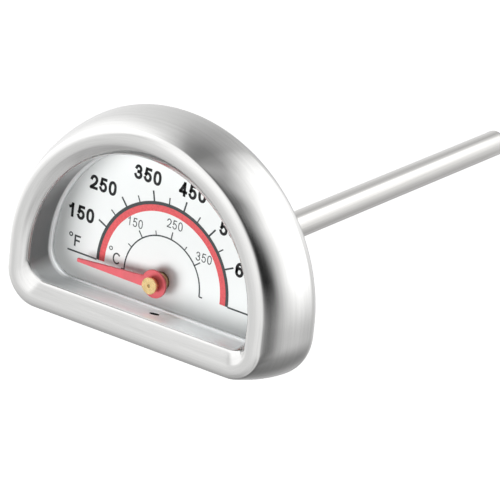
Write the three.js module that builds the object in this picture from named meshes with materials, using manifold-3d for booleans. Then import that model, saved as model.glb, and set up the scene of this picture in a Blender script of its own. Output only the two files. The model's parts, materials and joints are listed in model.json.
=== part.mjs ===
// Dial oven thermometer with a D-shaped case and a long bimetal stem.
//
// Millimetres, +Z up. The stem and the pointer share one axis, the Y axis. The origin is where
// that axis meets the panel that the case is screwed to. +Y runs back along the stem, -Y is
// towards the reader, and +X is the reader's right.
import * as THREE from "three";
import { mergeVertices } from "three/addons/utils/BufferGeometryUtils.js";
import Module from "manifold-3d";

const manifold = await Module();
manifold.setup();

// ---- Driving dimensions ----------------------------------------------------------------

// An outline is a D: an arc of this radius about (0, centre) over the top, straight sides, and
// a flat bottom edge at height bottom with rounded corners.
const FRONT = { radius: 38.6, centre: 2.3, bottom: -13.3, corner: 9.4 }; // the rim's bead, if it were full
const REAR = { radius: 43.1, centre: 0.4, bottom: -14.9, corner: 12.6 }; // widest line of the skirt
const MOUTH = { radius: 32.6, centre: 0.85, bottom: -5.7, corner: 4.8 }; // front edge of the recess
const FOOT = { radius: 33.9, centre: 0, bottom: -7.7, corner: 7.3 }; // recess wall at the dial
const LIP = { radius: 33.1, centre: 0, bottom: -6.9, corner: 6.5 }; // free edge round the dial

const CASE_SHEET = 0.6; // thickness of the pressed case
const RIM_Y = -16; // centre line of the bead
const RIM_ROUND = 3; // radius of the rim's bead
const BEAD_FROM = 33; // degrees from its widest line, where the skirt runs into it
const BEAD_TO = 118;
const MOUTH_Y = -16; // front edge of the recess
const DIAL_Y = -6; // printed face of the dial
const REAR_ROUND = 4.2; // radius of the rear edge
const HEM_REACH = 7; // how far the turned-in rear edge reaches inwards
const SKIRT_BULGE = 1.75; // 1 is a straight cone, 2 is level at the rear

const DIAL_SHEET = 0.5;
const PLATE_SHEET = 0.7; // back plate
const PLATE_Y = -0.7; // rear face of the back plate's flange, under the hem
const PLATE_INSET = 4.1; // from the widest line of the skirt to the flange's edge
const PAN_Y = -2.6; // rear face of its sunk floor
const GAP = 0.1; // play between faces that rest on each other

const STEM_RADIUS = 3.54;
const STEM_BORE = 3;
const STEM_TIP = 151.2;
const THREAD_RADIUS = 5; // mounting thread, 10 mm across
const THREAD_END = 20;
const SPANNER_SIZE = 13; // across the flats of both hexagons
const SPINDLE_RADIUS = 0.75;
const SPINDLE_CLEARANCE = 0.2;

const COIL_START = 104; // bimetal helix, inside the tip of the stem
const COIL_END = 146;
const COIL_RADIUS = 2.35;
const COIL_TURNS = 16;
const STRIP_WIDTH = 1.5;
const STRIP_THICKNESS = 0.35;

const POINTER_Y = -9.3; // front face of the pointer
const POINTER_SHEET = 0.6;
const POINTER_LENGTH = 23.5;
const POINTER_DISC = 3.6;
const POINTER_REST = 1.9; // degrees below the left end of the scale's base line
const POST_RADIUS_FROM_AXIS = 31;
const POST_ANGLES = [155, 90, 25]; // degrees, anticlockwise from +X seen from the front

const ARC_STEPS = 32;
const CORNER_STEPS = 6;
const BOTTOM_STEPS = 2;
const TURNED_SIDES = 24; // sides of a turned part

const radians = THREE.MathUtils.degToRad;

// ---- Materials -------------------------------------------------------------------------

function metal(color, roughness) {
  return new THREE.MeshStandardMaterial({ color, roughness, metalness: 1 });
}

function coating(color, roughness) {
  return new THREE.MeshStandardMaterial({ color, roughness, metalness: 0 });
}

const brushedSteel = () => metal(0xc9c9c7, 0.32);
const polishedSteel = () => metal(0xd2d2d0, 0.2);
const platedSteel = () => metal(0xb9bcbf, 0.4);
const brass = () => metal(0xd9b06a, 0.3);
const bimetal = () => metal(0xa9a196, 0.45);
const whiteEnamel = () => coating(0xf4f5f4, 0.45);
const redPaint = () => coating(0xd6404a, 0.4);
const siliconeRubber = () => coating(0x7a3a30, 0.8);

// ---- Building blocks -------------------------------------------------------------------

/** Merges shared corners, drops slivers and makes the faces point out. */
function tidy(geometry) {
  const bare = geometry.clone();
  bare.deleteAttribute("normal");
  bare.deleteAttribute("uv");
  const merged = mergeVertices(bare, 1e-4);
  const index = merged.getIndex().array;
  const kept = [];
  const corners = [new THREE.Vector3(), new THREE.Vector3(), new THREE.Vector3()];
  let volume = 0;
  for (let i = 0; i < index.length; i += 3) {
    const [a, b, c] = index.slice(i, i + 3);
    if (a === b || b === c || c === a) continue;
    kept.push(a, b, c);
    [a, b, c].forEach((v, k) => corners[k].fromBufferAttribute(merged.attributes.position, v));
    volume += corners[0].dot(corners[1].clone().cross(corners[2]));
  }
  if (volume < 0) kept.reverse();
  merged.setIndex(kept);
  merged.computeVertexNormals();
  return merged;
}

function toManifold(geometry) {
  const ready = tidy(geometry);
  return new manifold.Manifold(
    new manifold.Mesh({
      numProp: 3,
      vertProperties: new Float32Array(ready.attributes.position.array),
      triVerts: new Uint32Array(ready.getIndex().array),
    }),
  );
}

function fromManifold(solid) {
  const mesh = solid.getMesh();
  const geometry = new THREE.BufferGeometry();
  geometry.setAttribute("position", new THREE.BufferAttribute(mesh.vertProperties, 3));
  geometry.setIndex(new THREE.BufferAttribute(mesh.triVerts, 1));
  return geometry;
}

function cut(body, ...tools) {
  return fromManifold(tools.reduce((left, tool) => left.subtract(toManifold(tool)), toManifold(body)));
}

function join(body, other) {
  return fromManifold(toManifold(body).add(toManifold(other)));
}

/** Skins a row of rings, each a closed loop of points: a closed band, or a bar with flat ends. */
function skin(rings, band) {
  const size = rings[0].length;
  const positions = rings.flat().flatMap((p) => [p.x, p.y, p.z]);
  const index = [];
  const spans = band ? rings.length : rings.length - 1;
  for (let j = 0; j < spans; j++) {
    const here = j * size;
    const next = ((j + 1) % rings.length) * size;
    for (let i = 0; i < size; i++) {
      const k = (i + 1) % size;
      index.push(here + i, next + i, next + k, here + i, next + k, here + k);
    }
  }
  if (!band) {
    const last = (rings.length - 1) * size;
    for (let i = 1; i < size - 1; i++) {
      index.push(0, i, i + 1, last, last + i + 1, last + i);
    }
  }
  const geometry = new THREE.BufferGeometry();
  geometry.setAttribute("position", new THREE.Float32BufferAttribute(positions, 3));
  geometry.setIndex(index);
  return geometry;
}

/** A turned part about the Y axis. Each profile point is [radius, y]. */
function turned(profile, sides = TURNED_SIDES) {
  return new THREE.LatheGeometry(profile.map(([r, y]) => new THREE.Vector2(r, y)), sides);
}

/** A turned ring or sleeve between two radii, from yFront back to yRear. */
function sleeve(bore, radius, yFront, yRear, sides = TURNED_SIDES) {
  const profile = [[bore, yFront], [radius, yFront], [radius, yRear], [bore, yRear], [bore, yFront]];
  return turned(profile, sides);
}

/** A plate of a flat shape drawn in x and z, from yFront back to yRear. */
function plate(shape, yFront, yRear) {
  const flat = new THREE.ExtrudeGeometry(shape, {
    depth: yRear - yFront,
    bevelEnabled: false,
    curveSegments: TURNED_SIDES,
  });
  return flat.rotateX(Math.PI / 2).translate(0, yRear, 0);
}

// ---- D outlines ------------------------------------------------------------------------

function inset(outline, depth) {
  return {
    ...outline,
    radius: outline.radius - depth,
    bottom: outline.bottom + depth,
    corner: outline.corner - depth,
  };
}

function mix(a, b, share) {
  const mixed = {};
  for (const key of Object.keys(a)) mixed[key] = a[key] + (b[key] - a[key]) * share;
  return mixed;
}

/** The outline's points as [x, z], from the left side over the top, clockwise seen from the front. */
function outlinePoints({ radius, centre, bottom, corner }) {
  const points = [];
  for (let i = 0; i <= ARC_STEPS; i++) {
    const a = Math.PI * (1 - i / ARC_STEPS);
    points.push([radius * Math.cos(a), centre + radius * Math.sin(a)]);
  }
  const cornerX = radius - corner;
  const cornerZ = bottom + corner;
  for (let i = 0; i <= CORNER_STEPS; i++) {
    const a = (-Math.PI / 2) * (i / CORNER_STEPS);
    points.push([cornerX + corner * Math.cos(a), cornerZ + corner * Math.sin(a)]);
  }
  for (let i = 1; i < BOTTOM_STEPS; i++) points.push([cornerX * (1 - (2 * i) / BOTTOM_STEPS), bottom]);
  for (let i = 0; i <= CORNER_STEPS; i++) {
    const a = (-Math.PI / 2) * (1 + i / CORNER_STEPS);
    points.push([corner * Math.cos(a) - cornerX, cornerZ + corner * Math.sin(a)]);
  }
  return points;
}

function outlinePlate(outline, yFront, yRear) {
  const shape = new THREE.Shape(outlinePoints(outline).map(([x, z]) => new THREE.Vector2(x, z)));
  return plate(shape, yFront, yRear);
}

// ---- Case ------------------------------------------------------------------------------

/** Rounds the corner of a path of stations with a parabola. */
function roundedCorner(before, corner, after, reachBefore, reachAfter, steps) {
  const start = mix(corner, before, reachBefore);
  const end = mix(corner, after, reachAfter);
  return Array.from({ length: steps + 1 }, (_, i) => {
    const t = i / steps;
    return mix(mix(start, corner, t), mix(corner, end, t), t);
  });
}

/** The case's outer skin from the hem at the back, round the rim, to the lip at the dial. */
function caseStations() {
  const stations = [{ y: 0, ...inset(REAR, HEM_REACH) }];
  const rearSteps = 3;
  for (let i = 0; i <= rearSteps; i++) {
    const a = (Math.PI / 2) * (1 - i / rearSteps);
    const y = REAR_ROUND * (Math.sin(a) - 1);
    stations.push({ y, ...inset(REAR, REAR_ROUND * (1 - Math.cos(a))) });
  }
  const bead = (degrees) => {
    const a = radians(degrees);
    return { y: RIM_Y - RIM_ROUND * Math.sin(a), ...inset(FRONT, RIM_ROUND * (1 - Math.cos(a))) };
  };
  const skirtSteps = 5;
  const neck = bead(BEAD_FROM);
  for (let i = 1; i < skirtSteps; i++) {
    const share = 1 - i / skirtSteps;
    const outline = mix(neck, { y: 0, ...REAR }, SKIRT_BULGE * share - (SKIRT_BULGE - 1) * share ** 2);
    stations.push({ ...outline, y: neck.y + (-REAR_ROUND - neck.y) * share });
  }
  const beadSteps = 4;
  for (let i = 0; i <= beadSteps; i++) {
    stations.push(bead(BEAD_FROM + (BEAD_TO - BEAD_FROM) * (i / beadSteps)));
  }
  const brow = stations.at(-1);
  const lipY = DIAL_Y - GAP - CASE_SHEET;
  const mouth = { y: MOUTH_Y, ...MOUTH };
  const foot = { y: lipY, ...FOOT };
  const lip = { y: lipY, ...LIP };
  stations.push(...roundedCorner(brow, mouth, foot, 0.3, 0.12, 3));
  stations.push(...roundedCorner(mouth, foot, lip, 0.08, 0.6, 2));
  stations.push(lip);
  return stations;
}

/** Thickens a grid of stations into a pressed sheet whose outer side is the grid. */
function pressedSheet(stations, thickness) {
  const grid = stations.map((s) => outlinePoints(s).map(([x, z]) => new THREE.Vector3(x, s.y, z)));
  const around = grid[0].length;
  const last = grid.length - 1;
  const inner = grid.map((row, i) =>
    row.map((point, j) => {
      const along = grid[Math.min(i + 1, last)][j].clone().sub(grid[Math.max(i - 1, 0)][j]);
      const across = row[(j + 1) % around].clone().sub(row[(j + around - 1) % around]);
      return point.clone().addScaledVector(along.cross(across).normalize(), -thickness);
    }),
  );
  const rings = [];
  for (let j = 0; j < around; j++) {
    rings.push([...grid.map((row) => row[j]), ...inner.map((row) => row[j]).reverse()]);
  }
  return skin(rings, true);
}

function bezelShell() {
  const sheet = pressedSheet(caseStations(), CASE_SHEET);
  const drainRadius = 1.25;
  const drain = new THREE.CylinderGeometry(drainRadius, drainRadius, 4, 16);
  drain.rotateX(Math.PI / 2).translate(1.9, -10.4, -6.8);
  return cut(sheet, drain);
}

/** The D-shaped pan that closes the back and carries the stem. */
function backPlate() {
  const flange = outlinePlate(inset(REAR, PLATE_INSET), PLATE_Y - PLATE_SHEET, PLATE_Y);
  const cup = outlinePlate(inset(REAR, HEM_REACH + 0.4), PAN_Y - PLATE_SHEET, PLATE_Y);
  const hollow = outlinePlate(inset(REAR, HEM_REACH + 0.4 + PLATE_SHEET), PAN_Y, 1);
  const through = (radius, x, z) => sleeve(0, radius, -9, 1).translate(x, 0, z);
  const holes = postPlaces().map(([x, z]) => through(1.4, x, z));
  return cut(join(flange, cup), hollow, through(THREAD_RADIUS + 0.3, 0, 0), ...holes);
}

function dialPlate() {
  const blank = outlinePlate({ radius: 35.6, centre: 0, bottom: -9.4, corner: 8 }, DIAL_Y, DIAL_Y + DIAL_SHEET);
  return cut(blank, sleeve(0, 2.4, DIAL_Y - 1, 0));
}

function postPlaces() {
  return POST_ANGLES.map((degrees) => [
    POST_RADIUS_FROM_AXIS * Math.cos(radians(degrees)),
    POST_RADIUS_FROM_AXIS * Math.sin(radians(degrees)),
  ]);
}

/** Spacer between the back plate and the dial, bored for its screw. */
function dialPost() {
  return sleeve(1.4, 2.4, DIAL_Y + DIAL_SHEET + GAP, PAN_Y - PLATE_SHEET - GAP, 16);
}

/** Slotted pan-head screw, put in from behind. */
function backScrew() {
  const headY = PAN_Y + GAP;
  const profile = [
    [0, -4.9],
    [1.1, -4.9],
    [1.1, headY],
    [2.1, headY],
    [2.1, headY + 0.9],
    [1.5, headY + 1.4],
    [0, headY + 1.4],
  ];
  const slot = new THREE.BoxGeometry(5, 1.2, 0.6).translate(0, headY + 1.4, 0);
  return cut(turned(profile, 16), slot);
}

// ---- Stem and its fitting --------------------------------------------------------------

/** Fitting that the stem is fixed in: neck through the back plate, hexagon, mounting thread. */
function stemBoss() {
  const neckFront = -5.2;
  const shoulderFront = -1.9;
  const shoulderRear = -0.15;
  const stemSeat = -2;
  const chamfer = 0.7;
  const body = turned([
    [1.6, neckFront],
    [THREAD_RADIUS, neckFront],
    [THREAD_RADIUS, THREAD_END - chamfer],
    [THREAD_RADIUS - chamfer, THREAD_END],
    [STEM_RADIUS + 0.1, THREAD_END],
    [STEM_RADIUS + 0.1, stemSeat],
    [1.6, stemSeat],
    [1.6, neckFront],
  ]);
  const hexagon = plate(hexagonShape(SPANNER_SIZE, THREAD_RADIUS - 0.4), shoulderFront, shoulderRear);
  return join(body, hexagon);
}

/** Hexagon with flats above and below, and a round hole. */
function hexagonShape(acrossFlats, bore) {
  const corner = acrossFlats / 2 / Math.cos(Math.PI / 6);
  const points = Array.from({ length: 6 }, (_, i) => {
    const a = (i * Math.PI) / 3;
    return new THREE.Vector2(corner * Math.cos(a), corner * Math.sin(a));
  });
  const shape = new THREE.Shape(points);
  shape.holes.push(new THREE.Path().absarc(0, 0, bore, 0, 2 * Math.PI));
  return shape;
}

function bossGasket() {
  return sleeve(THREAD_RADIUS + 0.2, 6.5, PAN_Y + 0.05, -1.95);
}

function lockWasher() {
  return sleeve(THREAD_RADIUS + 0.2, 7.2, -3.75, -3.35);
}

function lockNut() {
  return plate(hexagonShape(SPANNER_SIZE, THREAD_RADIUS + 0.1), -5.1, -3.8);
}

function stemTube() {
  const tipRound = 1.3;
  const wallEnd = STEM_TIP - 1;
  return turned([
    [STEM_BORE, -1.9],
    [STEM_RADIUS, -1.9],
    [STEM_RADIUS, STEM_TIP - tipRound],
    [STEM_RADIUS - 0.38 * tipRound, STEM_TIP - 0.38 * tipRound],
    [STEM_RADIUS - tipRound, STEM_TIP],
    [0, STEM_TIP],
    [0, wallEnd],
    [STEM_BORE, wallEnd],
    [STEM_BORE, -1.9],
  ], 32);
}

function spindleGuide(y) {
  return sleeve(SPINDLE_RADIUS + SPINDLE_CLEARANCE, STEM_BORE - 0.1, y, y + 2.5);
}

/** Plug at the tip that holds the fixed end of the helix. */
function coilAnchor() {
  return turned([[0, COIL_END + 0.7], [0.9, COIL_END + 0.7], [0.9, COIL_END + 2], [2.9, COIL_END + 2],
    [2.9, COIL_END + 4], [0, COIL_END + 4]]);
}

/** Flat strip wound on edge into a helix. */
function bimetalCoil() {
  const stepsPerTurn = 12;
  const steps = COIL_TURNS * stepsPerTurn;
  const travel = COIL_END - COIL_START - STRIP_WIDTH;
  const near = COIL_RADIUS - STRIP_THICKNESS / 2;
  const far = COIL_RADIUS + STRIP_THICKNESS / 2;
  const rings = [];
  for (let i = 0; i <= steps; i++) {
    const a = (i / stepsPerTurn) * 2 * Math.PI;
    const y = COIL_START + (travel * i) / steps;
    const corner = (r, dy) => new THREE.Vector3(r * Math.cos(a), y + dy, r * Math.sin(a));
    rings.push([corner(near, 0), corner(far, 0), corner(far, STRIP_WIDTH), corner(near, STRIP_WIDTH)]);
  }
  return skin(rings, false);
}

// ---- Pointer ---------------------------------------------------------------------------

/** Tapered arm and hub disc, pointing along -X. */
function pointer() {
  const tipHalf = 0.5;
  const rootHalf = 1.5;
  const rootAngle = Math.asin(rootHalf / POINTER_DISC);
  const shape = new THREE.Shape();
  shape.moveTo(-POINTER_LENGTH, tipHalf);
  shape.lineTo(-POINTER_LENGTH, -tipHalf);
  shape.absarc(0, 0, POINTER_DISC, Math.PI + rootAngle, 3 * Math.PI - rootAngle);
  shape.holes.push(new THREE.Path().absarc(0, 0, 1.5, 0, 2 * Math.PI));
  return plate(shape, POINTER_Y, POINTER_Y + POINTER_SHEET);
}

/** Brass bush riveted in the pointer and pushed on the spindle. */
function pointerBush() {
  const face = -11.3;
  return turned([
    [0.45, face],
    [2.1, face],
    [2.2, face + 0.1],
    [2.2, face + 0.9],
    [1.7, face + 0.9],
    [1.7, POINTER_Y - GAP],
    [1.4, POINTER_Y - GAP],
    [1.4, POINTER_Y + POINTER_SHEET + GAP],
    [1.9, POINTER_Y + POINTER_SHEET + GAP],
    [1.9, -8.2],
    [SPINDLE_RADIUS + 0.05, -8.2],
    [SPINDLE_RADIUS + 0.05, face + 0.6],
    [0.45, face + 0.6],
    [0.45, face],
  ]);
}

/** Brass eyelet that the spindle passes through, fixed in the dial. */
function dialBush() {
  const bore = SPINDLE_RADIUS + SPINDLE_CLEARANCE;
  return turned([
    [bore, DIAL_Y - 1],
    [2.8, DIAL_Y - 1],
    [3, DIAL_Y - 0.8],
    [3, DIAL_Y - 0.05],
    [2.2, DIAL_Y - 0.05],
    [2.2, DIAL_Y + DIAL_SHEET],
    [bore, DIAL_Y + DIAL_SHEET],
    [bore, DIAL_Y - 1],
  ]);
}

function spindle() {
  return turned([[0, -10.65], [SPINDLE_RADIUS, -10.65], [SPINDLE_RADIUS, 99.5], [0, 99.5]], 16);
}

/** Collar on the spindle's far end that the moving end of the helix is welded to. */
function coilCollet() {
  return turned([[0, 99.6], [2.6, 99.6], [2.6, 101.2], [1.2, 101.2], [1.2, 103.5], [0, 103.5]]);
}

// ---- Assembly --------------------------------------------------------------------------

function part(name, geometry, material) {
  const mesh = new THREE.Mesh(tidy(geometry), material);
  mesh.name = name;
  return mesh;
}

const thermometer = new THREE.Group();
thermometer.name = "oven_thermometer";

const housing = new THREE.Group();
housing.add(
  part("bezel_shell", bezelShell(), brushedSteel()),
  part("back_plate", backPlate(), platedSteel()),
  part("dial_plate", dialPlate(), whiteEnamel()),
  part("dial_bush", dialBush(), brass()),
);
postPlaces().forEach(([x, z], i) => {
  const post = part(`dial_post_${i + 1}`, dialPost(), platedSteel());
  const screw = part(`back_screw_${i + 1}`, backScrew(), platedSteel());
  post.position.set(x, 0, z);
  screw.position.set(x, 0, z);
  housing.add(post, screw);
});

const stem = new THREE.Group();
stem.add(
  part("stem_boss", stemBoss(), platedSteel()),
  part("boss_gasket", bossGasket(), siliconeRubber()),
  part("lock_washer", lockWasher(), platedSteel()),
  part("lock_nut", lockNut(), platedSteel()),
  part("stem_tube", stemTube(), polishedSteel()),
  part("spindle_guide_upper", spindleGuide(24), brass()),
  part("spindle_guide_lower", spindleGuide(92), brass()),
  part("bimetal_coil", bimetalCoil(), bimetal()),
  part("coil_anchor", coilAnchor(), platedSteel()),
);

const movement = new THREE.Group();
movement.rotation.y = radians(-POINTER_REST);
movement.add(
  part("pointer", pointer(), redPaint()),
  part("pointer_bush", pointerBush(), brass()),
  part("spindle", spindle(), platedSteel()),
  part("coil_collet", coilCollet(), brass()),
);

thermometer.add(housing, stem, movement);

export default thermometer;
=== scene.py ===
"""Looks for a dial oven thermometer: D-shaped steel case, printed dial, red pointer, long stem.

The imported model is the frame. Its case, stem, fitting, pointer and hub are replaced by finer
pieces of the same size, the dial gets its print as thin layers of ink, and every piece gets a
procedural material. Lengths in the drawing code are millimetres and become metres in add_mesh.
"""

import json
import math

import bpy
import numpy as np
from mathutils import Matrix, Vector


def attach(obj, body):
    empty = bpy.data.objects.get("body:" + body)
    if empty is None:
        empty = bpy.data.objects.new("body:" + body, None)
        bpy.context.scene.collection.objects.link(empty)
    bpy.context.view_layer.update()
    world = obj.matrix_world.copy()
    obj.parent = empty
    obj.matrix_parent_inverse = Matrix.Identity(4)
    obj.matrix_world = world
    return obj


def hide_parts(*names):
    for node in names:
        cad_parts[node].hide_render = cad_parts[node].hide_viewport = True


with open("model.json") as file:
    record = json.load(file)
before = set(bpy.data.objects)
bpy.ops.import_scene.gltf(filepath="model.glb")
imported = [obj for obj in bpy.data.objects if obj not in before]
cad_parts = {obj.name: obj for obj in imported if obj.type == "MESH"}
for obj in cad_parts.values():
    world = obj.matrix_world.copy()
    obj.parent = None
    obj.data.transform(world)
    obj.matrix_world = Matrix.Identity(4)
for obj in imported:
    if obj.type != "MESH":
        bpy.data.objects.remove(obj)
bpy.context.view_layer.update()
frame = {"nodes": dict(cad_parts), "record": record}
MM = 0.001

# ---- Sizes, in millimetres ---------------------------------------------------------------

# A D outline is an arc of radius r about (0, centre), straight sides, and a flat bottom edge
# with rounded corners. Each row is y, radius, centre, bottom, corner. The rim's crest stays just
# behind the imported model's.
FRONT = np.array([-15.98, 38.6, 2.3, -13.3, 9.4])
REAR = np.array([0.0, 43.1, 0.4, -14.9, 12.6])
MOUTH = np.array([-16.0, 32.6, 0.85, -5.7, 4.8])
FOOT = np.array([-6.7, 33.9, 0.0, -7.7, 7.3])
LIP = np.array([-6.7, 33.1, 0.0, -6.9, 6.5])
CASE_SHEET = 0.6
RIM_ROUND = 3.0
BEAD_FROM = 33  # degrees round the rim's bead from its widest line
BEAD_TO = 118
REAR_ROUND = 4.2
HEM_REACH = 7.0
SKIRT_BULGE = 1.75  # 1 is a straight cone, 2 is level at the rear
RECESS_STATIONS = 19  # the last stations of the section, which take the recess material with its coarse brushing and its painted light and shade
DRAIN_RADIUS = 1.25
DRAIN_PLACE = (1.9, -10.4, -6.8)

DIAL_Y = -6.0
INK = 0.02  # thickness of one layer of print
PRINT_TILT = -0.516  # degrees: the dial sits very slightly turned in its case
BASE_LINE = -0.55  # height of the scales' base line
FAHRENHEIT_RING = 20.0
CELSIUS_RING = 11.4
FAHRENHEIT_STEP = 90 / 7  # degrees of turn for each 50 °F
CELSIUS_STEP = 0.449  # degrees of turn for each °C

STEM_RADIUS = 3.54
STEM_TIP = 151.2
THREAD_RADIUS = 5.0
THREAD_PITCH = 1.0
THREAD_END = 20.0
SPANNER_SIZE = 13.0
FITTING_BORE = 3.64

POINTER_REST = 1.9  # degrees below the base line
POINTER_LENGTH = 23.5
POINTER_DISC = 3.6
POINTER_FRONT = -9.3
POINTER_REAR = -8.7

# ---- Mesh helpers ------------------------------------------------------------------------


def add_mesh(name, points, faces, material, body, smooth_angle=35):
    """A smooth-shaded mesh from points in millimetres, riding on a body."""
    mesh = bpy.data.meshes.new(name)
    mesh.from_pydata([tuple(p) for p in np.asarray(points) * MM], [], faces)
    mesh.validate()
    return add_piece(name, mesh, material, body, smooth_angle)


def add_piece(name, mesh, material, body, smooth_angle=35):
    mesh.materials.clear()
    mesh.materials.append(material)
    mesh.shade_smooth()
    mesh.set_sharp_from_angle(angle=math.radians(smooth_angle))
    piece = bpy.data.objects.new(name, mesh)
    bpy.context.scene.collection.objects.link(piece)
    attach(piece, body)
    return piece


def ring_faces(sides, row):
    """Faces of a ring made of closed sections, each with row points, placed round the axis."""
    faces = []
    for i in range(sides):
        here = i * row
        there = ((i + 1) % sides) * row
        for j in range(row):
            k = (j + 1) % row
            faces.append((here + j, here + k, there + k, there + j))
    return faces


def lathe(profile, sides):
    """Points and faces of a turned part about the Y axis. The profile closes on itself."""
    points = []
    for i in range(sides):
        a = 2 * math.pi * i / sides
        points += [(r * math.cos(a), y, r * math.sin(a)) for r, y in profile]
    return points, ring_faces(sides, len(profile))


def rounded(profile, radius, steps=4):
    """Rounds every corner of a closed profile."""
    out = []
    count = len(profile)
    for i, corner in enumerate(profile):
        corner = np.array(corner, float)
        before = np.array(profile[i - 1], float) - corner
        after = np.array(profile[(i + 1) % count], float) - corner
        reach = min(radius, np.linalg.norm(before) * 0.45, np.linalg.norm(after) * 0.45)
        start = corner + before / np.linalg.norm(before) * reach
        end = corner + after / np.linalg.norm(after) * reach
        for s in range(steps + 1):
            t = s / steps
            out.append(tuple((1 - t) ** 2 * start + 2 * t * (1 - t) * corner + t * t * end))
    return out


def prism(outline, y_front, y_rear, bevel):
    """Points and faces of a flat plate of an (x, z) outline, with bevelled front and rear edges."""
    outline = np.array(outline, float)
    ahead = np.roll(outline, -1, axis=0) - outline
    ahead /= np.linalg.norm(ahead, axis=1)[:, None]
    bisector = ahead + np.roll(ahead, 1, axis=0)
    bisector /= np.linalg.norm(bisector, axis=1)[:, None]
    outward = np.column_stack([bisector[:, 1], -bisector[:, 0]])
    x, z = outline.T
    if np.sum(x * np.roll(z, -1) - np.roll(x, -1) * z) < 0:
        outward = -outward
    rings = [(y_front, bevel), (y_front + bevel, 0), (y_rear - bevel, 0), (y_rear, bevel)]
    points = []
    for y, inset in rings:
        ring = outline - outward * inset
        points += [(x, y, z) for x, z in ring]
    count = len(outline)
    faces = [tuple(range(count)), tuple(range(3 * count, 4 * count))[::-1]]
    for j in range(3):
        for i in range(count):
            k = (i + 1) % count
            faces.append((j * count + i, (j + 1) * count + i, (j + 1) * count + k, j * count + k))
    return points, faces


def merge(*parts):
    points = []
    faces = []
    for more_points, more_faces in parts:
        base = len(points)
        points += list(more_points)
        faces += [tuple(base + v for v in face) for face in more_faces]
    return points, faces


def turn_about_y(points, degrees):
    a = math.radians(degrees)
    points = np.asarray(points, float)
    x = points[:, 0] * math.cos(a) - points[:, 2] * math.sin(a)
    z = points[:, 0] * math.sin(a) + points[:, 2] * math.cos(a)
    return np.column_stack([x, points[:, 1], z])


# ---- Section of the case ------------------------------------------------------------------------


def inset(row, depth):
    y, radius, centre, bottom, corner = row
    return np.array([y, radius - depth, centre, bottom + depth, corner - depth])


def outline_points(row, arc_steps=144, corner_steps=20, side_steps=4, bottom_steps=40):
    """A D outline as (x, z), starting and ending at the middle of the bottom edge."""
    _, radius, centre, bottom, corner = row
    side_x = radius - corner
    corner_z = bottom + corner
    half = [(-side_x * i * 2 / bottom_steps, bottom) for i in range(bottom_steps // 2)]
    for i in range(corner_steps + 1):
        a = math.pi / 2 * i / corner_steps
        half.append((-side_x - corner * math.sin(a), corner_z - corner * math.cos(a)))
    for i in range(1, side_steps):
        half.append((-radius, corner_z + (centre - corner_z) * i / side_steps))
    for i in range(arc_steps // 2 + 1):
        a = math.pi * i / arc_steps
        half.append((-radius * math.cos(a), centre + radius * math.sin(a)))
    mirrored = [(-x, z) for x, z in half[1:-1][::-1]]
    return np.array(half + mirrored)


def bent(before, corner, after, reach_before, reach_after, steps):
    """Stations round a corner, along a parabola."""
    start = corner + (before - corner) * reach_before
    end = corner + (after - corner) * reach_after
    rows = []
    for i in range(steps + 1):
        t = i / steps
        rows.append((1 - t) ** 2 * start + 2 * t * (1 - t) * corner + t * t * end)
    return rows


def bead_row(degrees):
    """Outline on the rim's bead: 0 degrees on its widest line, 90 on its crest."""
    a = math.radians(degrees)
    row = inset(FRONT, RIM_ROUND * (1 - math.cos(a)))
    row[0] -= RIM_ROUND * math.sin(a)
    return row


def case_stations():
    """The case's outer skin from the hem, over the skirt and round the rim, to the lip."""
    hem = inset(REAR, HEM_REACH)
    rows = [hem]
    rear_steps = 12
    for i in range(rear_steps + 1):
        a = math.pi / 2 * (1 - i / rear_steps)
        row = inset(REAR, REAR_ROUND * (1 - math.cos(a)))
        row[0] = REAR_ROUND * (math.sin(a) - 1)
        rows.append(row)
    neck = bead_row(BEAD_FROM)
    skirt_steps = 28
    for i in range(1, skirt_steps):
        share = 1 - i / skirt_steps
        row = neck + (REAR - neck) * (SKIRT_BULGE * share - (SKIRT_BULGE - 1) * share**2)
        row[0] = neck[0] + (-REAR_ROUND - neck[0]) * share
        rows.append(row)
    for degrees in range(BEAD_FROM, BEAD_TO + 1, 5):
        rows.append(bead_row(degrees))
    brow = rows[-1]
    rows += bent(brow, MOUTH, FOOT, 0.34, 0.12, 12)
    rows += bent(MOUTH, FOOT, LIP, 0.16, 0.8, 8)
    rows.append(LIP)
    return np.array(rows)


def section_reach(stations):
    """Distance along the section from the hem to each station, measured at the crown."""
    return np.concatenate([[0], np.cumsum(np.linalg.norm(np.diff(stations[:, :2], axis=0), axis=1))])


# ---- Materials ---------------------------------------------------------------------------


def combine(tree, operation, a, b=0):
    """A maths node of two values, each a number or another node's output."""
    node = tree.nodes.new("ShaderNodeMath")
    node.operation = operation
    for socket, value in zip(node.inputs, (a, b)):
        if isinstance(value, (int, float)):
            socket.default_value = value
        else:
            tree.links.new(value, socket)
    return node.outputs[0]


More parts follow.
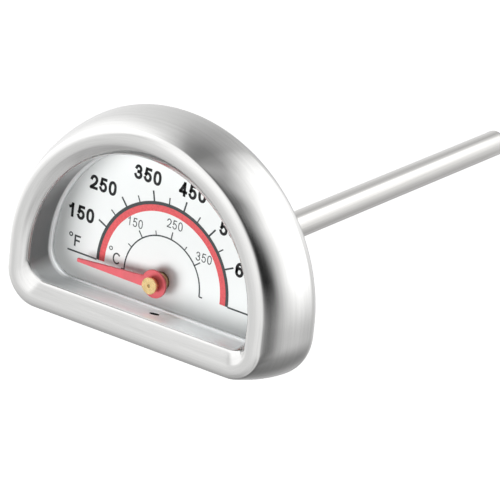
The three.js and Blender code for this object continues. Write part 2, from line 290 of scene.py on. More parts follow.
class Shader:
    """A node material around one Principled shader."""

    def __init__(self, name, color, roughness, metallic, **fixed):
        self.material = bpy.data.materials.new(name)
        self.material.use_nodes = True
        self.tree = self.material.node_tree
        self.surface = self.tree.nodes["Principled BSDF"]
        self.surface.inputs["Base Color"].default_value = (*color, 1)
        self.surface.inputs["Roughness"].default_value = roughness
        self.surface.inputs["Metallic"].default_value = metallic
        for socket, value in fixed.items():
            self.surface.inputs[socket.replace("_", " ")].default_value = value
        self.color = color
        self.roughness = roughness

    def node(self, kind, **settings):
        node = self.tree.nodes.new(kind)
        for key, value in settings.items():
            if key in node.inputs:
                node.inputs[key].default_value = value
            else:
                setattr(node, key, value)
        return node

    def link(self, source, target):
        self.tree.links.new(source, target)

    def math(self, operation, a, b=0):
        return combine(self.tree, operation, a, b)

    def object_vector(self, scale):
        """Place on the piece, in units of 1/scale metres along x, y and z."""
        place = self.node("ShaderNodeTexCoord")
        mapping = self.node("ShaderNodeMapping", Scale=scale)
        self.link(place.outputs["Object"], mapping.inputs["Vector"])
        return mapping.outputs["Vector"]

    def polar_vector(self, around, along, out):
        """Place about the Y axis: angle, depth and radius, each to its own scale."""
        place = self.node("ShaderNodeTexCoord")
        split = self.node("ShaderNodeSeparateXYZ")
        self.link(place.outputs["Object"], split.inputs[0])
        x, y, z = split.outputs
        radius = self.math("SQRT", self.math("ADD", self.math("MULTIPLY", x, x), self.math("MULTIPLY", z, z)))
        floor = self.math("MAXIMUM", radius, 1e-5)
        joined = self.node("ShaderNodeCombineXYZ")
        self.link(self.math("MULTIPLY", self.math("DIVIDE", x, floor), around), joined.inputs[0])
        self.link(self.math("MULTIPLY", self.math("DIVIDE", z, floor), around), joined.inputs[1])
        depth = self.math("MULTIPLY", y, along)
        self.link(self.math("ADD", depth, self.math("MULTIPLY", radius, out)), joined.inputs[2])
        return joined.outputs[0]

    def outline_vector(self, around, across):
        """Place on the case: once round the outline in u, and along its section in v."""
        place = self.node("ShaderNodeUVMap", uv_map="outline")
        split = self.node("ShaderNodeSeparateXYZ")
        self.link(place.outputs["UV"], split.inputs[0])
        angle = self.math("MULTIPLY", split.outputs[0], 2 * math.pi)
        joined = self.node("ShaderNodeCombineXYZ")
        self.link(self.math("MULTIPLY", self.math("COSINE", angle), around), joined.inputs[0])
        self.link(self.math("MULTIPLY", self.math("SINE", angle), around), joined.inputs[1])
        self.link(self.math("MULTIPLY", split.outputs[1], across), joined.inputs[2])
        return joined.outputs[0]

    def noise(self, vector, detail=3.0, roughness=0.55):
        node = self.node("ShaderNodeTexNoise", Scale=1.0, Detail=detail, Roughness=roughness)
        self.link(vector, node.inputs["Vector"])
        return node.outputs["Fac"]

    def ramp(self, value, low, high, to_low, to_high):
        node = self.node("ShaderNodeMapRange")
        for key, number in zip(("From Min", "From Max", "To Min", "To Max"), (low, high, to_low, to_high)):
            node.inputs[key].default_value = number
        self.link(value, node.inputs["Value"])
        return node.outputs["Result"]

    def tint(self, value, dark, light, low=0.3, high=0.7):
        """Colour between two multiples of the base colour."""
        mix = self.node("ShaderNodeMix", data_type="RGBA")
        mix.inputs["A"].default_value = (*[c * dark for c in self.color], 1)
        mix.inputs["B"].default_value = (*[min(1, c * light) for c in self.color], 1)
        self.link(self.ramp(value, low, high, 0, 1), mix.inputs["Factor"])
        self.link(mix.outputs["Result"], self.surface.inputs["Base Color"])

    def darken(self, share, level):
        """Takes the base colour down to a fraction of itself where share is 1."""
        mix = self.node("ShaderNodeMix", data_type="RGBA")
        self.link(self.surface.inputs["Base Color"].links[0].from_socket, mix.inputs["A"])
        mix.inputs["B"].default_value = (*[c * level for c in self.color], 1)
        self.link(share, mix.inputs["Factor"])
        self.link(mix.outputs["Result"], self.surface.inputs["Base Color"])

    def gloss(self, value, spread, low=0.3, high=0.7):
        span = (self.roughness - spread, self.roughness + spread)
        self.link(self.ramp(value, low, high, *span), self.surface.inputs["Roughness"])

    def bump(self, value, strength, depth):
        node = self.node("ShaderNodeBump", Strength=strength, Distance=depth)
        self.link(value, node.inputs["Height"])
        self.link(node.outputs["Normal"], self.surface.inputs["Normal"])


def blend(shader, first, second, share):
    """share of the second pattern in the first."""
    return shader.math(
        "ADD", shader.math("MULTIPLY", first, 1 - share), shader.math("MULTIPLY", second, share)
    )


def brushed_case():
    """Stainless sheet, satin finished along the outline, with handling marks."""
    s = Shader("brushed_case", (0.62, 0.618, 0.612), 0.13, 1.0)
    fine = s.noise(s.outline_vector(4.0, 9.0), 4)
    broad = s.noise(s.outline_vector(1.6, 1.4), 2)
    smudge = s.noise(s.object_vector((60, 60, 60)), 3)
    s.tint(blend(s, fine, broad, 0.45), 0.93, 1.05)
    s.gloss(blend(s, fine, smudge, 0.5), 0.045)
    s.bump(fine, 0.1, 0.00001)
    return s.material


def brushed_recess_painted_light_and_shade():
    """The same sheet in the recess, brushed coarsely, with painted light and shade: a brighter base colour,
    and side walls painted darker.
    """
    # Painted light: the base colour is raised well above the case's steel, so the recess looks lit.
    s = Shader("brushed_recess_painted_light_and_shade", (0.865, 0.88, 0.885), 0.42, 1.0, Anisotropic=0.9, Anisotropic_Rotation=0.25)
    along = s.node("ShaderNodeTangent", direction_type="UV_MAP", uv_map="outline")
    s.link(along.outputs["Tangent"], s.surface.inputs["Tangent"])
    fine = s.noise(s.outline_vector(5.0, 14.0), 4)
    broad = s.noise(s.outline_vector(2.0, 1.4), 2)
    s.tint(blend(s, fine, broad, 0.45), 0.92, 1.05)
    # Painted shade: up the side walls, above the floor and in front of the dial's foot, the base colour is
    # taken down to 0.27 of itself.
    place = s.node("ShaderNodeSeparateXYZ")
    s.link(s.object_vector((1000, 1000, 1000)), place.inputs[0])
    sideways = s.ramp(s.math("ABSOLUTE", place.outputs[0]), 12, 31, 0, 1)
    above_floor = s.ramp(place.outputs[2], -8.5, -2.5, 0, 1)
    before_foot = s.ramp(place.outputs[1], -8.0, -7.3, 1, 0)
    wall = s.math("MULTIPLY", sideways, above_floor)
    s.darken(s.math("MULTIPLY", wall, before_foot), 0.27)
    s.gloss(fine, 0.05)
    s.bump(fine, 0.1, 0.00001)
    return s.material


def polished_steel():
    """Stem tube: bright, with fine drawn lines along it."""
    s = Shader("polished_stem", (0.66, 0.65, 0.635), 0.14, 1.0)
    drawn = s.noise(s.polar_vector(18.0, 25.0, 0.0), 3)
    smudge = s.noise(s.object_vector((90, 30, 90)), 3)
    s.tint(drawn, 0.94, 1.04)
    s.gloss(blend(s, drawn, smudge, 0.5), 0.05)
    s.bump(drawn, 0.08, 0.00003)
    return s.material


def plated_steel():
    """Zinc-plated steel, turned or pressed, slightly clouded."""
    s = Shader("plated_steel", (0.56, 0.57, 0.58), 0.34, 1.0)
    turned = s.noise(s.polar_vector(1.5, 7000.0, 7000.0), 2)
    cloud = s.noise(s.object_vector((220, 220, 220)), 4)
    s.tint(cloud, 0.86, 1.06)
    s.gloss(blend(s, turned, cloud, 0.5), 0.09)
    s.bump(turned, 0.12, 0.00004)
    return s.material


def brass():
    """Turned brass with fine rings and light tarnish."""
    s = Shader("brass", (0.83, 0.62, 0.30), 0.26, 1.0)
    rings = s.noise(s.polar_vector(0.8, 6000.0, 9000.0), 2)
    tarnish = s.noise(s.object_vector((900, 900, 900)), 4)
    s.tint(tarnish, 0.82, 1.06)
    s.gloss(blend(s, rings, tarnish, 0.4), 0.09)
    s.bump(rings, 0.25, 0.00004)
    return s.material


def brass_with_painted_shade():
    """Brass with painted shade: darkened as if in the shadow of the pointer disc in front of it."""
    s = Shader("brass_with_painted_shade", (0.40, 0.25, 0.14), 0.38, 1.0)
    stain = s.noise(s.object_vector((800, 800, 800)), 4)
    s.tint(stain, 0.75, 1.15)
    s.gloss(stain, 0.08)
    s.bump(stain, 0.2, 0.00003)
    return s.material


def bimetal_strip():
    s = Shader("bimetal_strip", (0.44, 0.40, 0.35), 0.42, 1.0)
    rolled = s.noise(s.polar_vector(2.0, 9000.0, 0.0), 3)
    heat = s.noise(s.object_vector((300, 120, 300)), 3)
    s.tint(blend(s, rolled, heat, 0.6), 0.80, 1.12)
    s.gloss(rolled, 0.1)
    s.bump(rolled, 0.2, 0.00003)
    return s.material


def dial_enamel():
    """Satin white dial: slight unevenness in the coat, a few specks."""
    s = Shader("dial_enamel", (0.79, 0.81, 0.805), 0.42, 0.0)
    peel = s.noise(s.object_vector((1400, 1400, 1400)), 3)
    cloud = s.noise(s.object_vector((70, 70, 70)), 3)
    s.tint(cloud, 0.975, 1.01)
    s.gloss(cloud, 0.05)
    s.bump(peel, 0.12, 0.00003)
    return s.material


def printing_ink(name, color):
    """Screen-printed ink: a little thin in places."""
    s = Shader(name, color, 0.5, 0.0, Specular_IOR_Level=0.25)
    mottle = s.noise(s.object_vector((1800, 1800, 1800)), 3)
    s.tint(mottle, 0.9, 1.12)
    s.gloss(mottle, 0.06)
    s.bump(mottle, 0.1, 0.00001)
    return s.material


def red_paint():
    s = Shader("red_paint", (0.62, 0.085, 0.105), 0.36, 0.0)
    peel = s.noise(s.object_vector((1500, 1500, 1500)), 3)
    cloud = s.noise(s.object_vector((260, 260, 260)), 3)
    s.tint(cloud, 0.92, 1.08)
    s.gloss(cloud, 0.06)
    s.bump(peel, 0.2, 0.00004)
    return s.material


def silicone():
    s = Shader("silicone", (0.20, 0.045, 0.035), 0.7, 0.0)
    grain = s.noise(s.object_vector((2500, 2500, 2500)), 4)
    s.tint(grain, 0.85, 1.15)
    s.gloss(grain, 0.08)
    s.bump(grain, 0.3, 0.00005)
    return s.material


MATERIALS = {
    "brushed_case": brushed_case(),
    "brushed_recess_painted_light_and_shade": brushed_recess_painted_light_and_shade(),
    "polished_stem": polished_steel(),
    "plated_steel": plated_steel(),
    "brass": brass(),
    "brass_with_painted_shade": brass_with_painted_shade(),
    "bimetal_strip": bimetal_strip(),
    "dial_enamel": dial_enamel(),
    "red_paint": red_paint(),
    "silicone": silicone(),
}
BLACK_INK = printing_ink("black_ink", (0.012, 0.012, 0.013))
GREY_INK = printing_ink("grey_ink", (0.050, 0.058, 0.060))
RED_INK = printing_ink("red_ink", (0.66, 0.10, 0.11))


def finish_frame_nodes():
    """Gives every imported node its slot's material and smooth shading with sharp edges."""
    slots = {row["node"]: row["material_slot"] for row in frame["record"]["subparts"]}
    for name, node in frame["nodes"].items():
        node.data.materials.clear()
        node.data.materials.append(MATERIALS[slots[name]])
        node.data.shade_smooth()
        node.data.set_sharp_from_angle(angle=math.radians(35))


# ---- Case --------------------------------------------------------------------------------


def pressed_case():
    """The case as one closed sheet: an outer skin, the skin inside it, and both free edges."""
    stations = case_stations()
    loops = np.array([[(x, row[0], z) for x, z in outline_points(row)] for row in stations])
    count_v, count_u, _ = loops.shape
    along = np.gradient(loops, axis=0)
    across = (np.roll(loops, -1, axis=1) - np.roll(loops, 1, axis=1)) / 2
    normal = np.cross(across, along)
    normal /= np.linalg.norm(normal, axis=2)[:, :, None]
    skirt = 20
    if normal[skirt, 0, 2] > 0:  # at the middle of the bottom edge the outer skin faces down
        normal = -normal
    inner = loops - normal * CASE_SHEET
    outer_index = np.arange(count_v * count_u).reshape(count_v, count_u)
    inner_index = outer_index + count_v * count_u
    faces = []
    corners = []
    perimeter = np.linalg.norm(np.roll(loops, -1, axis=1) - loops, axis=2)
    u = np.concatenate([np.zeros((count_v, 1)), np.cumsum(perimeter, axis=1)], axis=1)
    u /= u[:, -1:]
    v = section_reach(stations)
    for j in range(count_v - 1):
        for i in range(count_u):
            k = (i + 1) % count_u
            around = [(j, i), (j + 1, i), (j + 1, k), (j, k)]
            at = [(u[j, i], v[j]), (u[j + 1, i], v[j + 1]), (u[j + 1, i + 1], v[j + 1]), (u[j, i + 1], v[j])]
            faces.append(tuple(outer_index[spot] for spot in around))
            corners += at
            faces.append(tuple(inner_index[spot] for spot in around[:1] + around[:0:-1]))
            corners += at[:1] + at[:0:-1]
    for j, flip in ((0, False), (count_v - 1, True)):
        for i in range(count_u):
            k = (i + 1) % count_u
            quad = [outer_index[j, i], outer_index[j, k], inner_index[j, k], inner_index[j, i]]
            at = [(u[j, i], v[j]), (u[j, i + 1], v[j]), (u[j, i + 1], v[j]), (u[j, i], v[j])]
            faces.append(tuple(quad[::-1] if flip else quad))
            corners += at[::-1] if flip else at
    points = np.concatenate([loops.reshape(-1, 3), inner.reshape(-1, 3)])
    mesh = bpy.data.meshes.new("case")
    mesh.from_pydata([tuple(p) for p in points * MM], [], [tuple(int(v) for v in f) for f in faces])
    layer = mesh.uv_layers.new(name="outline")
    layer.data.foreach_set("uv", np.array(corners, np.float32).ravel())
    return mesh


def drain_cutter():
    """Upright round bar that the drain hole is cut with."""
    points, faces = lathe([(0.02, -2), (DRAIN_RADIUS, -2), (DRAIN_RADIUS, 2), (0.02, 2)], 48)
    turned = [(x, z, y) for x, y, z in points]
    mesh = bpy.data.meshes.new("drain")
    mesh.from_pydata([(x * MM, y * MM, z * MM) for x, y, z in turned], [], [f[::-1] for f in faces])
    mesh.validate()
    cutter = bpy.data.objects.new("drain", mesh)
    cutter.location = Vector(DRAIN_PLACE) * MM
    bpy.context.scene.collection.objects.link(cutter)
    return cutter


def add_case():
    case = bpy.data.objects.new("case_uncut", pressed_case())
    bpy.context.scene.collection.objects.link(case)
    cutter = drain_cutter()
    cut = case.modifiers.new("drain", "BOOLEAN")
    cut.object = cutter
    cut.operation = "DIFFERENCE"
    cut.solver = "EXACT"
    bpy.context.view_layer.update()
    ready = bpy.data.meshes.new_from_object(case.evaluated_get(bpy.context.evaluated_depsgraph_get()))
    bpy.data.objects.remove(case)
    bpy.data.objects.remove(cutter)
    piece = add_piece("case_shell", ready, MATERIALS["brushed_case"], "case", 50)
    piece.data.materials.append(MATERIALS["brushed_recess_painted_light_and_shade"])
    reach = section_reach(case_stations())[-RECESS_STATIONS]
    depth = piece.data.uv_layers["outline"].data
    for face in piece.data.polygons:
        if depth[face.loop_start].uv[1] > reach:
            face.material_index = 1
    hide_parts("bezel_shell")


# ---- Dial print --------------------------------------------------------------------------


def on_dial(points_xz, layer=1):
    """Print coordinates to places just in front of the dial."""
    front = DIAL_Y - INK * layer
    return turn_about_y([(x, front, z) for x, z in points_xz], PRINT_TILT)


def ink_patch(points_xz, faces, layer):
    """A thin raised patch of ink, closed all round."""
    count = len(points_xz)
    front = on_dial(points_xz, layer)
    back = on_dial(points_xz, 0)
    edges = {}
    for face in faces:
        for a, b in zip(face, face[1:] + face[:1]):
            edges[(a, b)] = True
    rim = [(a, b) for a, b in edges if (b, a) not in edges]
    sides = [(a, a + count, b + count, b) for a, b in rim]
    backs = [tuple(v + count for v in face[::-1]) for face in faces]
    return list(front) + list(back), list(faces) + sides + backs


def arc_band(inner, outer, start, end, steps=96):
    """Part of a ring between two angles in degrees, anticlockwise from +X."""
    points = []
    for i in range(steps + 1):
        a = math.radians(start + (end - start) * i / steps)
        points += [(inner * math.cos(a), inner * math.sin(a)), (outer * math.cos(a), outer * math.sin(a))]
    faces = [(2 * i, 2 * i + 1, 2 * i + 3, 2 * i + 2) for i in range(steps)]
    return points, faces


def ring_band(x, z, radius, width):
    points, faces = arc_band(radius - width / 2, radius + width / 2, 0, 360, 32)
    return [(x + px, z + pz) for px, pz in points], faces


def stroke(x0, z0, x1, z1, width):
    along = np.array([x1 - x0, z1 - z0]) / math.hypot(x1 - x0, z1 - z0)
    side = np.array([-along[1], along[0]]) * width / 2
    start = np.array([x0, z0])
    end = np.array([x1, z1])
    return [tuple(start - side), tuple(end - side), tuple(end + side), tuple(start + side)], [(0, 1, 2, 3)]


def tick(inner, outer, degrees, width):
    a = math.radians(degrees)
    return stroke(
        inner * math.cos(a), inner * math.sin(a), outer * math.cos(a), outer * math.sin(a), width
    )


def bow(x, z, radius_x, radius_z, start, end, steps=18):
    """Part of an ellipse between two angles in degrees."""
    angles = np.radians(np.linspace(start, end, steps + 1))
    return [(x + radius_x * math.cos(a), z + radius_z * math.sin(a)) for a in angles]


def full_oval():
    """Closed, slightly square oval of a nought."""

    def squared(share):
        return 0.5 + 0.5 * math.copysign(abs(share) ** 0.86, share)

    return [(squared(math.cos(a)), squared(math.sin(a))) for a in np.radians(np.arange(0, 360, 9))]


# Middle lines of the characters in a unit box. A line that ends where it starts is closed.
GLYPHS = {
    "0": [full_oval() + full_oval()[:1]],
    "1": [[(0.62, 0), (0.62, 1)], [(0.60, 0.97), (0.46, 0.84), (0.28, 0.77), (0.16, 0.75)]],
    "2": [
        bow(0.5, 0.71, 0.48, 0.29, 168, -25) + [(0.78, 0.42), (0.42, 0.22), (0.12, 0.10), (0.03, 0.02)],
        [(0.02, 0), (1, 0)],
    ],
    "3": [bow(0.47, 0.755, 0.42, 0.245, 165, -88), bow(0.47, 0.265, 0.5, 0.265, 88, -165)],
    "4": [[(0.74, 0), (0.74, 1)], [(0.70, 0.96), (0.03, 0.29)], [(0.0, 0.26), (1, 0.26)]],
    "5": [
        [(0.24, 1), (0.92, 1)],
        [(0.22, 0.98), (0.11, 0.52)],
        bow(0.48, 0.32, 0.50, 0.32, 140, -158),
    ],
    "6": [
        bow(0.5, 0.315, 0.5, 0.315, 0, 360, 30),
        bow(0.54, 0.56, 0.54, 0.44, 42, 180) + [(0.0, 0.34)],
    ],
    "F": [[(0, 0), (0, 1)], [(0.02, 1), (1, 1)], [(0.02, 0.52), (0.84, 0.52)]],
    "C": [bow(0.56, 0.5, 0.56, 0.5, 48, 312, 26)],
}


def inked_line(spots, width):
    """A line of ink with square ends, or a closed one."""
    spots = np.array(spots, float)
    closed = np.linalg.norm(spots[0] - spots[-1]) < 1e-6
    if closed:
        spots = spots[:-1]
        ahead = np.roll(spots, -1, axis=0) - np.roll(spots, 1, axis=0)
    else:
        start = (spots[0] - spots[1]) / np.linalg.norm(spots[0] - spots[1])
        end = (spots[-1] - spots[-2]) / np.linalg.norm(spots[-1] - spots[-2])
        spots[0] += start * width * 0.5
        spots[-1] += end * width * 0.5
        ahead = np.gradient(spots, axis=0)
    ahead /= np.linalg.norm(ahead, axis=1)[:, None]
    side = np.column_stack([-ahead[:, 1], ahead[:, 0]]) * width / 2
    count = len(spots)
    points = [tuple(q) for q in np.concatenate([spots - side, spots + side])]
    faces = []
    for i in range(count if closed else count - 1):
        k = (i + 1) % count
        faces.append((i, k, k + count, i + count))
    return points, faces


def lettering(text, x, z, height, width, gap, line):
    """Upright characters centred on a place, each height by width, drawn with lines of ink."""
    patches = []
    left = x - (len(text) * width + (len(text) - 1) * gap) / 2
    for i, character in enumerate(text):
        low = np.array([left + i * (width + gap) + line / 2, z - height / 2 + line / 2])
        span = np.array([width - line, height - line])
        for spots in GLYPHS[character]:
            patches.append(inked_line(low + np.array(spots) * span, line))
    return patches


def add_print(name, patches, material, layer=1):
    points, faces = merge(*[ink_patch(p, f, layer) for p, f in patches])
    piece = add_mesh(name, points, faces, material, "case", 30)


def fahrenheit_angle(value):
    return 180 - (value - 50) / 50 * FAHRENHEIT_STEP


def celsius_angle(value):
    return 127 - (value - 150) * CELSIUS_STEP


def add_fahrenheit_band():
    ring_inner = FAHRENHEIT_RING - 0.85
    band_inner = FAHRENHEIT_RING - 2.5
    low = math.degrees(math.asin(BASE_LINE / FAHRENHEIT_RING))
    add_print("print_red_band", [arc_band(band_inner, ring_inner, low, 180 - low)], RED_INK)
    return arc_band(ring_inner, FAHRENHEIT_RING, low, 180 - low)


def fahrenheit_scale():
    patches = []
    inner = FAHRENHEIT_RING - 0.1
    for value in range(150, 700, 50):
        outer, width = (22.6, 0.44) if value % 100 == 50 else (21.6, 0.32)
        patches.append(tick(inner, outer, fahrenheit_angle(value), width))
    patches.append(stroke(-29, BASE_LINE, -inner, BASE_LINE, 0.42))
    patches.append(stroke(inner, BASE_LINE, 31, BASE_LINE, 0.42))
    return patches


def celsius_scale():
    line = 0.18
    low = math.degrees(math.asin(BASE_LINE / CELSIUS_RING))
    patches = [arc_band(CELSIUS_RING - line, CELSIUS_RING + line, low, 180 - low)]
    for value in range(100, 400, 50):
        reach, width = (2.0, 0.32) if value % 100 == 50 else (1.2, 0.25)
        patches.append(tick(CELSIUS_RING, CELSIUS_RING + reach, celsius_angle(value), width))
    for side in (-1, 1):
        patches.append(stroke(side * CELSIUS_RING, BASE_LINE, side * (CELSIUS_RING + 0.95), BASE_LINE, 0.34))
    for text, x, z in (("150", -9.5, 12.35), ("250", 2.2, 15.3), ("350", 11.6, 9.6)):
        patches += lettering(text, x, z, 2.3, 1.3, 0.38, 0.24)
    return patches


def unit_marks():
    """°F and °C."""
    patches = lettering("F", -26.2, 2.3, 3.0, 1.9, 0, 0.48)
    patches.append(ring_band(-28.3, 3.6, 0.45, 0.3))
    patches += lettering("C", -14.0, 1.5, 3.0, 2.2, 0, 0.4)
    patches.append(ring_band(-15.9, 3.7, 0.45, 0.22))
    return patches


def fahrenheit_numbers():
    numbers = [
        ("150", -25.9, 9.9), ("250", -20.0, 18.9), ("350", -7.1, 25.4),
        ("450", 6.4, 25.0), ("550", 19.2, 18.8), ("650", 25.0, 9.8),
    ]  # fmt: skip
    patches = []
    for text, x, z in numbers:
        patches += lettering(text, x, z, 3.75, 2.42, 0.42, 0.76)
    return patches


def add_dial_print():
    ring = add_fahrenheit_band()
    add_print("print_grey_scale", [ring] + fahrenheit_scale() + celsius_scale() + unit_marks(), GREY_INK, 2)
    add_print("print_black_numbers", fahrenheit_numbers(), BLACK_INK)


# ---- Pointer and hub ---------------------------------------------------------------------


def add_pointer():
    """Tapered arm with a blunt tip and a round disc, laid to the left and turned to its rest."""
    tip_half = 0.48
    tip_cut = 0.15
    root_half = 1.45
    root = math.asin(root_half / POINTER_DISC)
    outline = [(-POINTER_LENGTH + tip_cut, tip_half), (-POINTER_LENGTH, tip_half - tip_cut)]
    outline += [(-POINTER_LENGTH, tip_cut - tip_half), (-POINTER_LENGTH + tip_cut, -tip_half)]
    for i in range(73):
        a = math.pi + root + (2 * math.pi - 2 * root) * i / 72
        outline.append((POINTER_DISC * math.cos(a), POINTER_DISC * math.sin(a)))
    points, faces = prism(outline, POINTER_FRONT, POINTER_REAR, 0.12)
    points = turn_about_y(points, POINTER_REST)
    piece = add_mesh("pointer_painted", points, faces, MATERIALS["red_paint"], "pointer", 30)
    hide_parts("pointer")


def add_hub():
    head = [(0.42, -11.3), (2.1, -11.3), (2.1, -10.4), (1.7, -10.4), (1.7, -9.35), (0.42, -9.35)]
    tail = [(0.8, -8.65), (1.9, -8.65), (1.9, -8.2), (0.8, -8.2)]
    hub = merge(lathe(rounded(head, 0.14), 72), lathe(rounded(tail, 0.1), 72))
    piece = add_mesh("hub_bush", *hub, MATERIALS["brass"], "pointer", 40)
    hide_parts("pointer_bush")


def add_dial_eyelet():
    flange = [(0.95, -7.0), (2.4, -7.0), (2.4, -6.05), (0.95, -6.05)]
    # The eyelet's dark brass is painted shade, for the shadow of the pointer disc.
    piece = add_mesh("dial_eyelet", *lathe(rounded(flange, 0.3), 72), MATERIALS["brass_with_painted_shade"], "case", 40)
    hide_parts("dial_bush")


# ---- Stem and its fitting ----------------------------------------------------------------


def add_stem():
    tip_round = 1.4
    profile = [(3.0, -1.9), (STEM_RADIUS, -1.9)]
    profile += [(STEM_RADIUS, y) for y in np.linspace(22, STEM_TIP - tip_round, 14)]
    for i in range(1, 9):
        a = math.pi / 2 * i / 8
        profile.append(
            (STEM_RADIUS - tip_round * (1 - math.cos(a)), STEM_TIP - tip_round * (1 - math.sin(a)))
        )
    profile += [(0.6, STEM_TIP), (0.02, STEM_TIP), (0.02, STEM_TIP - 1), (3.0, STEM_TIP - 1)]
    piece = add_mesh("stem_polished", *lathe(profile, 96), MATERIALS["polished_stem"], "case", 40)
    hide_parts("stem_tube")


def threaded_pin(start, end, sides=60, rows_per_pitch=6):
    """Outer face of the mounting thread as one winding surface, closed to a bore."""
    crest_radius = THREAD_RADIUS - 0.02
    depth = 0.55
    run_in = 0.6
    run_out = 0.9
    chamfer = 0.7
    rows = int((end - start) / THREAD_PITCH * rows_per_pitch)
    ys = np.linspace(start, end, rows + 1)
    points = []
    for i in range(sides):
        a = 2 * math.pi * i / sides
        points.append((FITTING_BORE * math.cos(a), start, FITTING_BORE * math.sin(a)))
        for y in ys:
            phase = (y / THREAD_PITCH - i / sides) % 1
            crest = min(1, max(0, 2.2 * abs(2 * phase - 1) - 0.6))
            fade = max(0.0, min(1, (end - y) / run_out, (y - start) / run_in))
            taper = 0.5 * max(0.0, 1 - (end - y) / chamfer)
            r = crest_radius - depth * (1 - crest) * fade - taper
            points.append((r * math.cos(a), y, r * math.sin(a)))
        points.append((FITTING_BORE * math.cos(a), end, FITTING_BORE * math.sin(a)))
    return points, ring_faces(sides, rows + 3)


def bored_hexagon(size, y_front, y_rear, sides=60):
    """Hexagon with chamfered edges, open down the stem's axis."""
    chamfer = 0.35
    points = []
    for i in range(sides):
        a = 2 * math.pi * i / sides
        edge = size / 2 / math.cos(a % (math.pi / 3) - math.pi / 6)
        section = [
            (FITTING_BORE, y_front), (edge - chamfer, y_front), (edge, y_front + chamfer),
            (edge, y_rear - chamfer), (edge - chamfer, y_rear), (FITTING_BORE, y_rear),
        ]  # fmt: skip
        points += [(r * math.cos(a), y, r * math.sin(a)) for r, y in section]
    return points, ring_faces(sides, 6)


def add_fitting():
    """Neck through the back plate, hexagon and mounting thread, all round the stem."""
    neck_radius = THREAD_RADIUS - 0.02
    neck = [(FITTING_BORE, -5.2), (neck_radius, -5.2), (neck_radius, -1.5), (FITTING_BORE, -1.5)]
    parts = merge(
        lathe(rounded(neck, 0.3), 60),
        bored_hexagon(SPANNER_SIZE, -1.9, -0.15),
        threaded_pin(-0.4, THREAD_END),
    )
    piece = add_mesh("fitting_threaded", *parts, MATERIALS["plated_steel"], "case", 40)
    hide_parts("stem_boss")


# ---- Studio ------------------------------------------------------------------------------

AIM = Vector((0.02101, -0.00048, 0.01303))  # metres
DISTANCE = 0.840
VIEW_AZIMUTH = 33.046
VIEW_ELEVATION = 20.848
VIEW_ROLL = 6.078
LENS = 252.0
WORLD_PEAK = 2.4  # brightness that the studio's colour ramps call 1


def direction(azimuth, elevation):
    """Unit vector towards a place seen from the object: azimuth 0 is in front, 90 to the right."""
    a = math.radians(azimuth)
    e = math.radians(elevation)
    return Vector((math.sin(a) * math.cos(e), -math.cos(a) * math.cos(e), math.sin(e)))


def facing(away, roll=0.0):
    """Rotation of a camera, light or card whose -Z axis looks along -away."""
    turn = away.to_track_quat("Z", "Y").to_matrix()
    return (turn @ Matrix.Rotation(math.radians(roll), 3, "Z")).to_4x4()


def add_camera():
    data = bpy.data.cameras.new("camera")
    data.lens = LENS
    data.sensor_width = 36
    data.clip_start = 0.01
    camera = bpy.data.objects.new("camera", data)
    bpy.context.scene.collection.objects.link(camera)
    away = direction(VIEW_AZIMUTH, VIEW_ELEVATION)
    camera.matrix_world = Matrix.Translation(AIM + away * DISTANCE) @ facing(away, VIEW_ROLL)
    bpy.context.scene.camera = camera


def add_softbox(name, azimuth, elevation, distance, width, height, power):
    data = bpy.data.lights.new(name, "AREA")
    data.shape = "RECTANGLE"
    data.size = width
    data.size_y = height
    data.energy = power
    light = bpy.data.objects.new(name, data)
    bpy.context.scene.collection.objects.link(light)
    away = direction(azimuth, elevation)
    light.matrix_world = Matrix.Translation(away * distance) @ facing(away)
    light.visible_camera = False
    light.visible_glossy = False


def add_floor():
    """Plain white floor. Reflections and bounced light take the studio's own floor instead."""
    size = 6.0
    corners = [(-size, -size, 0), (size, -size, 0), (size, size, 0), (-size, size, 0)]
    mesh = bpy.data.meshes.new("floor")
    mesh.from_pydata(corners, [], [(0, 1, 2, 3)])
    s = Shader("floor_white", (0.9, 0.9, 0.9), 0.6, 0.0, Emission_Strength=1.0)
    s.surface.inputs["Emission Color"].default_value = (1, 1, 1, 1)
    mesh.materials.append(s.material)
    floor = bpy.data.objects.new("floor", mesh)
    floor.location = (0, 0, -0.12)
    bpy.context.scene.collection.objects.link(floor)
    floor.visible_glossy = False
    floor.visible_diffuse = False
    floor.visible_shadow = False
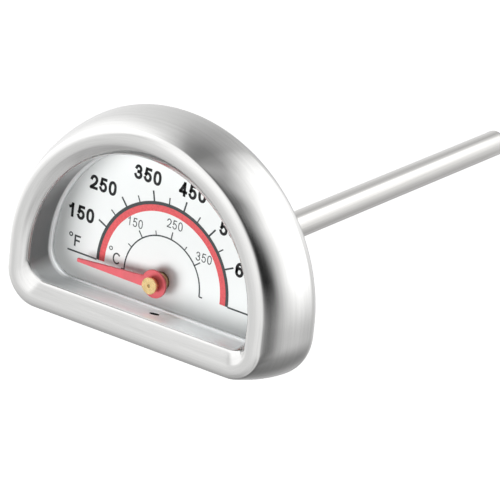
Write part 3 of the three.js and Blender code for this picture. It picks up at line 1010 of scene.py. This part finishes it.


# Brightness of the surroundings at seven elevations, in rows by azimuth in degrees. It is highest
# on the right, from about 103 to 160, and there is a dark gap around 86. These levels weren't
# worked out from a few plain lamps: a scratch program measured the photograph's brightness by
# reflection direction, and the rows are rounded from that and adjusted.
ELEVATIONS = (-66, -42, -18, 6, 36, 54, 68)
STUDIO = [
    (-180, (0.30, 0.55, 0.90, 1.20, 0.90, 0.62, 0.30)),
    (-170, (0.28, 0.55, 0.80, 0.80, 0.72, 0.58, 0.30)),
    (-163, (0.28, 0.55, 0.75, 0.55, 0.70, 0.55, 0.30)),
    (-148, (0.40, 0.60, 0.75, 0.92, 0.82, 0.60, 0.40)),
    (-130, (0.36, 0.52, 1.15, 1.06, 1.05, 1.15, 1.00)),
    (-116, (0.46, 0.68, 1.50, 1.95, 1.95, 1.90, 1.50)),
    (-62, (0.64, 0.88, 1.15, 1.45, 1.70, 1.65, 1.50)),
    (-50, (0.65, 0.92, 1.03, 1.10, 0.92, 1.50, 1.50)),
    (-38, (0.60, 0.88, 1.03, 1.08, 1.15, 1.50, 1.50)),
    (-20, (0.65, 1.00, 1.04, 1.22, 1.60, 1.60, 1.50)),
    (30, (0.80, 1.00, 1.25, 1.35, 1.60, 1.60, 1.40)),
    (50, (0.80, 0.75, 1.20, 1.40, 1.25, 1.30, 1.10)),
    (64, (0.85, 0.95, 1.35, 1.05, 0.75, 0.95, 0.80)),
    (74, (0.60, 1.00, 1.10, 0.50, 0.40, 0.60, 0.50)),
    (81, (0.30, 0.40, 0.50, 0.08, 0.08, 0.15, 0.20)),
    (86, (0.18, 0.25, 0.15, 0.00, 0.00, 0.08, 0.20)),
    (91, (0.18, 0.22, 0.42, 0.03, 0.05, 0.10, 0.20)),
    (96, (0.18, 0.25, 0.78, 0.75, 0.55, 0.15, 0.20)),
    (103, (0.20, 0.38, 0.95, 1.50, 1.25, 0.25, 0.20)),
    (116, (0.20, 0.42, 0.95, 2.20, 2.20, 1.20, 0.45)),
    (137, (0.25, 0.38, 0.80, 1.90, 2.30, 1.70, 0.60)),
    (144, (0.25, 0.34, 0.75, 1.05, 2.20, 1.75, 0.60)),
    (162, (0.27, 0.40, 0.80, 1.30, 1.95, 1.45, 0.42)),
    (173, (0.28, 0.50, 0.90, 1.40, 1.55, 1.00, 0.40)),
    (180, (0.30, 0.55, 0.90, 1.20, 0.90, 0.62, 0.30)),
]


def level_curve(tree, value, stops):
    """Straight lines between (degrees, level) stops, for a value that is 0 to 1 over a full turn."""
    ramp = tree.nodes.new("ShaderNodeValToRGB")
    elements = ramp.color_ramp.elements
    elements.remove(elements[1])
    for i, (degrees, level) in enumerate(stops):
        place = (degrees + 180) / 360
        element = elements[0] if i == 0 else elements.new(place)
        element.position = place
        grey = level / WORLD_PEAK
        element.color = (grey, grey, grey, 1)
    tree.links.new(value, ramp.inputs["Fac"])
    return ramp.outputs["Color"]


def studio_row(tree, index, turn, rise):
    """Brightness of one row of STUDIO, fading out at the rows on either side of it."""
    degrees, levels = STUDIO[index]
    share = [(degrees, WORLD_PEAK)]
    if index > 0:
        share.insert(0, (STUDIO[index - 1][0], 0.0))
    if index < len(STUDIO) - 1:
        share.append((STUDIO[index + 1][0], 0.0))
    height = level_curve(tree, rise, list(zip(ELEVATIONS, levels)))
    return combine(tree, "MULTIPLY", level_curve(tree, turn, share), height)


def add_world():
    """Surroundings that show in reflections only, blended between the rows of STUDIO."""
    world = bpy.data.worlds.new("studio")
    bpy.context.scene.world = world
    world.use_nodes = True
    world.cycles_visibility.diffuse = False
    tree = world.node_tree
    place = tree.nodes.new("ShaderNodeTexCoord")
    split = tree.nodes.new("ShaderNodeSeparateXYZ")
    tree.links.new(place.outputs["Generated"], split.inputs[0])
    x, y, z = split.outputs
    azimuth = combine(tree, "ARCTAN2", x, combine(tree, "MULTIPLY", y, -1.0))
    elevation = combine(tree, "ARCSINE", z)
    turn = combine(tree, "ADD", combine(tree, "MULTIPLY", azimuth, 0.5 / math.pi), 0.5)
    rise = combine(tree, "ADD", combine(tree, "MULTIPLY", elevation, 0.5 / math.pi), 0.5)
    total = 0.0
    for i in range(len(STUDIO)):
        total = combine(tree, "ADD", studio_row(tree, i, turn, rise), total)
    background = tree.nodes["Background"]
    background.inputs["Color"].default_value = (1, 1, 1, 1)
    tree.links.new(combine(tree, "MULTIPLY", total, WORLD_PEAK), background.inputs["Strength"])


def light_scene():
    add_world()
    add_floor()
    add_softbox("key", -30, -16, 0.8, 0.5, 0.44, 6.2)
    add_softbox("fill", 12, 0, 0.9, 0.9, 0.8, 3.1)
    bpy.context.scene.view_settings.view_transform = "Standard"


# ---- Build -------------------------------------------------------------------------------

finish_frame_nodes()
add_case()
add_dial_print()
add_dial_eyelet()
add_pointer()
add_hub()
add_stem()
add_fitting()
add_camera()
light_scene()
